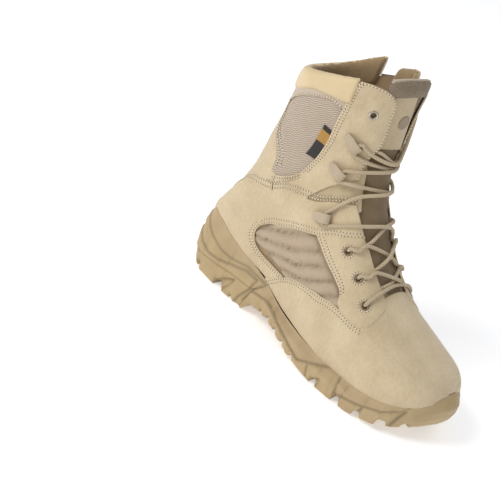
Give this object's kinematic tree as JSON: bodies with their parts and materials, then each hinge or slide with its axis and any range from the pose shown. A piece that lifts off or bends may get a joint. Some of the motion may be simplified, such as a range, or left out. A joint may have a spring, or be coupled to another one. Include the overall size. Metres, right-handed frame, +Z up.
{
  "type": "combat boot",
  "caption": "Tall lace-up combat boot in sand suede and mesh with a padded collar, an inner side zip and a deep lugged rubber sole.",
  "frame": {"origin": "middle of the bounding box's footprint, on the floor under the sole", "axes": "+X from heel to toe, +Y towards the inner (medial) side of the right foot, +Z up"},
  "size_m": [0.287, 0.1114, 0.2571],
  "materials": {
    "suede": "matte sand suede",
    "smooth_leather": "smooth matte leather",
    "sole_rubber": "matte tan rubber",
    "midsole_foam": "matte moulded foam",
    "tongue_mesh": "coarse woven mesh",
    "lining": "soft lining cloth",
    "zip_tape": "woven zip tape",
    "zip_metal": "dark antique metal",
    "eyelet_metal": "satin metal",
    "webbing": "flat woven webbing",
    "lace_cord": "round braided cord"
  },
  "bodies": {
    "boot": {"outsole": "sole_rubber", "midsole": "midsole_foam", "upper": "suede", "tongue": "tongue_mesh", "insole": "lining", "collar_pad": "smooth_leather", "collar_pad_front": "smooth_leather", "zip_tape": "zip_tape", "zip_teeth": "zip_metal", "zip_slider": "zip_metal", "eyelet_lateral": "eyelet_metal", "eyelet_medial": "eyelet_metal", "lace_loop_lateral_1": "webbing", "lace_loop_medial_1": "webbing", "lace_loop_lateral_2": "webbing", "lace_loop_medial_2": "webbing", "lace_loop_lateral_3": "webbing", "lace_loop_medial_3": "webbing", "laces": "lace_cord"},
    "pull": {"zip_pull": "zip_metal"}
  },
  "joints": [
    {"name": "pull_swing", "type": "hinge", "parent": "boot", "child": "pull", "pos_m": [-0.06935, 0.05268, 0.21437], "axis": [0.9985, 0.054, 0], "range_deg": [0, 150]}
  ]
}
